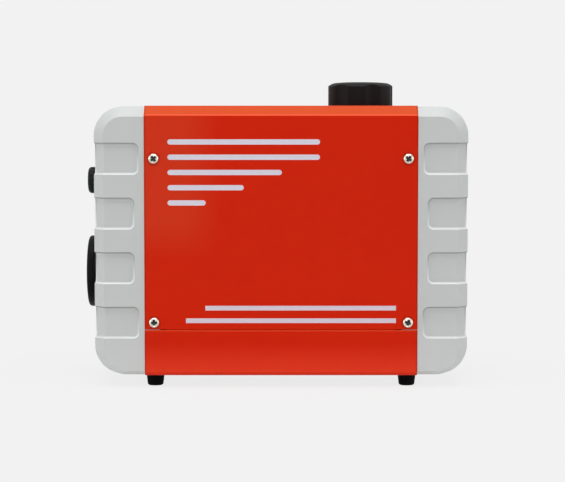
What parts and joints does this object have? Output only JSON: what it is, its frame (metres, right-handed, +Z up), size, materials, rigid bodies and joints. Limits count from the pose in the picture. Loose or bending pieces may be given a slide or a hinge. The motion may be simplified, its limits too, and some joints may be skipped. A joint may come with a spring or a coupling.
{
  "type": "forced air heater",
  "caption": "Portable fuel-burning air heater: sheet body between moulded end caps, lobed fuel cap on top, round louvred hot-air outlet and knob at one end, air inlet at the other.",
  "frame": {"origin": "middle of the outline on the floor plane under the feet", "axes": "+X along the body from the hot-air outlet to the air inlet, +Y to the back where the exhaust and air pipes leave, +Z up"},
  "size_m": [0.4024, 0.1726, 0.3145],
  "materials": {
    "cover_paint": "satin powder coat, red-orange",
    "cap_grey": "fine-textured light grey moulding",
    "black_moulding": "matt black moulding",
    "knob_black": "satin black moulding",
    "button_grey": "dark grey moulding",
    "foot_rubber": "matt black rubber",
    "zinc_steel": "bright zinc plate",
    "black_zinc": "black zinc plate",
    "galvanised_sheet": "galvanised sheet",
    "cast_aluminium": "raw die casting",
    "burner_steel": "heat-tinted stainless",
    "pipe_steel": "plain steel tube",
    "gasket_grey": "pressed fibre",
    "case_black": "black glass-filled moulding",
    "impeller_aluminium": "raw aluminium",
    "ferrite": "dark ferrite",
    "copper_windings": "varnished copper on laminations",
    "fitting_brass": "turned brass",
    "tank_plastic": "blow-moulded dark tank",
    "filter_plastic": "clear moulding",
    "pump_steel": "plated can",
    "spring_steel": "spring wire",
    "board_green": "solder mask",
    "sensor_ceramic": "ceramic body",
    "display_glass": "smoked clear window"
  },
  "bodies": {
    "chassis": {"top_cover": "cover_paint", "base_tray": "cover_paint", "outlet_end_cap": "cap_grey", "inlet_end_cap": "cap_grey", "cover_screws": "zinc_steel", "rubber_feet": "foot_rubber", "foot_fasteners": "zinc_steel", "core_bracket": "galvanised_sheet", "bracket_screws": "zinc_steel", "base_gasket": "foot_rubber", "heat_exchanger": "cast_aluminium", "mounting_studs": "zinc_steel", "burner_tube": "burner_steel", "burner_gasket": "gasket_grey", "glow_plug": "fitting_brass", "blower_housing": "cast_aluminium", "motor_can": "pipe_steel", "shaft_bearings": "pipe_steel", "motor_magnets": "ferrite", "core_case_lower": "case_black", "core_case_upper": "case_black", "core_screws": "zinc_steel", "core_outlet_hood": "case_black", "core_inlet_grille": "case_black", "control_board": "board_green", "overheat_sensor": "sensor_ceramic", "exhaust_pipe": "burner_steel", "intake_pipe": "pipe_steel", "tank_shelf": "galvanised_sheet", "end_cap_screws": "zinc_steel", "fuel_tank": "tank_plastic", "tank_straps": "galvanised_sheet", "neck_collar": "foot_rubber", "tank_outlet_fitting": "fitting_brass", "fuel_filter": "filter_plastic", "fuel_hoses": "foot_rubber", "fuel_pump_body": "pump_steel", "pump_spring": "spring_steel", "pump_bracket": "galvanised_sheet", "fuel_line": "pipe_steel", "internal_leads": "foot_rubber", "outlet_bezel": "black_moulding", "panel_frame": "black_moulding", "display_window": "display_glass", "panel_board": "board_green", "power_socket": "black_moulding", "socket_screws": "black_zinc"},
    "fuel_cap_lift": {"cap_seal": "foot_rubber"},
    "fuel_cap": {"fuel_cap": "black_moulding"},
    "louver_ring": {"louver_ring": "black_moulding"},
    "louver_disc": {"louver_disc": "black_moulding"},
    "knob": {"control_knob": "knob_black", "knob_shaft": "pump_steel"},
    "power_button": {"power_button": "button_grey"},
    "mode_button": {"mode_button": "button_grey"},
    "rotor": {"motor_shaft": "pipe_steel", "motor_armature": "copper_windings", "hot_air_fan": "case_black", "combustion_impeller": "impeller_aluminium"},
    "pump_plunger": {"pump_plunger": "pump_steel"}
  },
  "joints": [
    {"name": "fuel_cap_off", "type": "slide", "parent": "chassis", "child": "fuel_cap_lift", "axis": [0, 0, 1], "range_m": [0, 0.06]},
    {"name": "fuel_cap_turn", "type": "hinge", "parent": "fuel_cap_lift", "child": "fuel_cap", "pos_m": [0.0883, -0.0087, 0.2897], "axis": [0, 0, 1], "continuous": true},
    {"name": "louver_ring_turn", "type": "hinge", "parent": "chassis", "child": "louver_ring", "pos_m": [-0.1922, -0.0087, 0.1143], "axis": [1, 0, 0], "continuous": true},
    {"name": "louver_disc_tilt", "type": "hinge", "parent": "louver_ring", "child": "louver_disc", "pos_m": [-0.1922, -0.0087, 0.1143], "axis": [0, 1, 0], "range_deg": [-30, 30]},
    {"name": "knob_turn", "type": "hinge", "parent": "chassis", "child": "knob", "pos_m": [-0.1882, -0.0367, 0.212], "axis": [-1, 0, 0], "range_deg": [-150, 150]},
    {"name": "power_press", "type": "slide", "parent": "chassis", "child": "power_button", "axis": [1, 0, 0], "range_m": [0, 0.0008], "stiffness_N_per_m": 400},
    {"name": "mode_press", "type": "slide", "parent": "chassis", "child": "mode_button", "axis": [1, 0, 0], "range_m": [0, 0.0008], "stiffness_N_per_m": 400},
    {"name": "rotor_spin", "type": "hinge", "parent": "chassis", "child": "rotor", "pos_m": [0.0878, -0.0087, 0.1143], "axis": [1, 0, 0], "continuous": true},
    {"name": "pump_stroke", "type": "slide", "parent": "chassis", "child": "pump_plunger", "axis": [0, 0, 1], "range_m": [0, 0.0025], "stiffness_N_per_m": 300, "springref_m": -0.003, "deforming": ["pump_spring"]}
  ]
}
